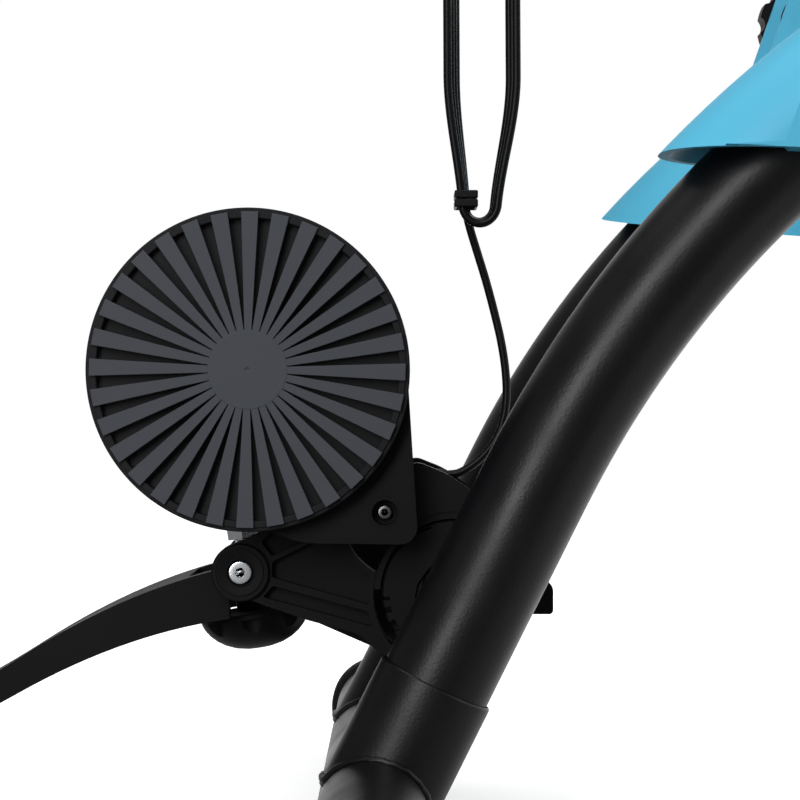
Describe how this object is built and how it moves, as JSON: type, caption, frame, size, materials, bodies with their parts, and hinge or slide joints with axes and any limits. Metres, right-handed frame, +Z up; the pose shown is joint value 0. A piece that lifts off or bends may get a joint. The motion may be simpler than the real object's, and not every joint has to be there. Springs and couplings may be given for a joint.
{
  "type": "wheel-on turbo trainer",
  "caption": "Folding wheel-on turbo trainer with a bent-tube frame, axle clamps, tilting roller unit with magnetic brake, ribbed cover and flywheel, foot lever, knob and shifter cable.",
  "frame": {"origin": "on the floor, at the middle of the bottom of the trainer's box, measured without the cable and its shifter", "axes": "+X towards the front of the bicycle, +Y towards its left, +Z up"},
  "size_m": [0.7842, 0.5656, 0.4716],
  "materials": {
    "powder_coated_steel": "satin black powder coat on steel tube",
    "foot_rubber": "matt black rubber",
    "blue_plastic": "matt sky blue moulding",
    "zinc_steel": "bright zinc plate",
    "bare_steel": "turned steel",
    "black_plastic": "matt black glass-filled nylon",
    "cover_plastic": "matt charcoal moulding",
    "cast_iron": "machined casting",
    "cast_aluminium": "dark coated die casting",
    "roller_aluminium": "satin turned aluminium",
    "cable_sheath": "satin black sheath"
  },
  "bodies": {
    "rear_frame": {"rear_floor_bar": "powder_coated_steel", "right_rear_foot_cap": "foot_rubber", "left_rear_foot_cap": "foot_rubber", "right_rear_upright": "powder_coated_steel", "left_rear_upright": "powder_coated_steel", "unit_crossbar": "powder_coated_steel", "right_hinge_shroud": "blue_plastic", "left_hinge_shroud": "blue_plastic", "right_hinge_pin": "zinc_steel", "left_hinge_pin": "zinc_steel", "right_clamp_barrel": "powder_coated_steel", "left_clamp_barrel": "powder_coated_steel", "bracket_saddle": "black_plastic", "bracket_cap": "black_plastic", "right_clamp_bolt": "zinc_steel", "left_clamp_bolt": "zinc_steel", "shifter_body": "black_plastic", "cable_lead": "cable_sheath", "cable_hank": "cable_sheath", "cable_to_shifter": "cable_sheath", "cable_tie": "cable_sheath"},
    "front_frame": {"front_floor_bar": "powder_coated_steel", "right_front_foot_cap": "foot_rubber", "left_front_foot_cap": "foot_rubber", "right_front_upright": "powder_coated_steel", "left_front_upright": "powder_coated_steel", "right_leg_knuckle": "blue_plastic", "left_leg_knuckle": "blue_plastic"},
    "right_cup": {"right_axle_cup": "bare_steel", "quick_release_pin": "zinc_steel"},
    "quick_lever": {"quick_release_lever": "black_plastic"},
    "left_cup": {"left_axle_cup": "bare_steel"},
    "left_wheel": {"left_adjusting_wheel": "black_plastic"},
    "swing_bracket": {"right_bracket_arm": "black_plastic", "left_bracket_arm": "black_plastic", "bracket_bridge": "black_plastic", "right_lever_bolt": "zinc_steel", "left_lever_bolt": "zinc_steel", "cable_gland": "cable_sheath"},
    "foot_lever": {"pressure_lever": "black_plastic"},
    "roller_unit": {"ribbed_cover": "cover_plastic", "brake_casing": "black_plastic", "flywheel_casing": "black_plastic", "flywheel_lid": "cover_plastic", "unit_cradle": "cast_aluminium", "right_bearing": "bare_steel", "left_bearing": "bare_steel", "right_tilt_bolt": "zinc_steel", "left_tilt_bolt": "zinc_steel"},
    "rotor": {"roller": "roller_aluminium", "roller_axle": "bare_steel", "flywheel": "cast_iron", "brake_disc": "roller_aluminium"},
    "magnet_plate": {"magnet_carrier": "black_plastic", "magnet_ring": "bare_steel"},
    "screw_barrel": {"pressure_barrel": "bare_steel"},
    "screw_knob": {"pressure_knob": "black_plastic", "pressure_screw": "zinc_steel"},
    "screw_nut": {"pressure_nut": "zinc_steel"},
    "shift_lever": {"shifter_lever": "black_plastic"}
  },
  "joints": [
    {"name": "front_leg_fold", "type": "hinge", "parent": "rear_frame", "child": "front_frame", "pos_m": [0.10075, 0, 0.32996], "axis": [0, 1, 0], "range_deg": [0, 68]},
    {"name": "quick_release_swing", "type": "hinge", "parent": "right_cup", "child": "quick_lever", "pos_m": [0.07675, -0.166, 0.41996], "axis": [1, 0, 0], "range_deg": [-90, 0]},
    {"name": "right_cup_slide", "type": "slide", "parent": "rear_frame", "child": "right_cup", "axis": [0, 1, 0], "range_m": [-0.007, 0]},
    {"name": "left_wheel_turn", "type": "hinge", "parent": "rear_frame", "child": "left_wheel", "pos_m": [0.07675, 0, 0.41996], "axis": [0, 1, 0], "range_deg": [-720, 720]},
    {"name": "left_cup_slide", "type": "slide", "parent": "rear_frame", "child": "left_cup", "axis": [0, 1, 0], "range_m": [-0.004, 0.004]},
    {"name": "wheel_size_swing", "type": "hinge", "parent": "rear_frame", "child": "swing_bracket", "pos_m": [-0.12311, 0, 0.121], "axis": [0, 1, 0], "range_deg": [-8, 0]},
    {"name": "lever_swing", "type": "hinge", "parent": "swing_bracket", "child": "foot_lever", "pos_m": [-0.22411, 0, 0.131], "axis": [0, 1, 0], "range_deg": [0, 35]},
    {"name": "unit_tilt", "type": "hinge", "parent": "swing_bracket", "child": "roller_unit", "pos_m": [-0.15611, 0, 0.16], "axis": [0, 1, 0], "range_deg": [-4.5, 0]},
    {"name": "barrel_slide", "type": "slide", "parent": "swing_bracket", "child": "screw_barrel", "axis": [-0.1495, 0, 0.9888], "range_m": [-0.0061, 0]},
    {"name": "knob_turn", "type": "hinge", "parent": "screw_barrel", "child": "screw_knob", "pos_m": [-0.22411, 0, 0.131], "axis": [-0.1495, 0, 0.9888], "range_deg": [-1080, 0]},
    {"name": "nut_slide", "type": "slide", "parent": "screw_barrel", "child": "screw_nut", "axis": [-0.1495, 0, 0.9888], "range_m": [-0.0036, 0]},
    {"name": "roller_spin", "type": "hinge", "parent": "roller_unit", "child": "rotor", "pos_m": [-0.21851, 0, 0.2258], "axis": [0, 1, 0], "continuous": true},
    {"name": "magnet_turn", "type": "hinge", "parent": "roller_unit", "child": "magnet_plate", "pos_m": [-0.21851, 0, 0.2258], "axis": [0, 1, 0], "range_deg": [0, 30]},
    {"name": "shifter_swing", "type": "hinge", "parent": "rear_frame", "child": "shift_lever", "pos_m": [0.07675, 0, 0.44866], "axis": [0, 1, 0], "range_deg": [0, 60]}
  ],
  "couplings": [
    {"joint": "right_cup_slide", "follows": "quick_release_swing", "m_per_rad": 0.004456},
    {"joint": "left_cup_slide", "follows": "left_wheel_turn", "m_per_rad": 0.000318},
    {"joint": "unit_tilt", "follows": "lever_swing", "ratio": -0.12857},
    {"joint": "barrel_slide", "follows": "lever_swing", "m_per_rad": -0.00998},
    {"joint": "nut_slide", "follows": "knob_turn", "m_per_rad": 0.00019},
    {"joint": "magnet_turn", "follows": "shifter_swing", "ratio": 0.5}
  ]
}
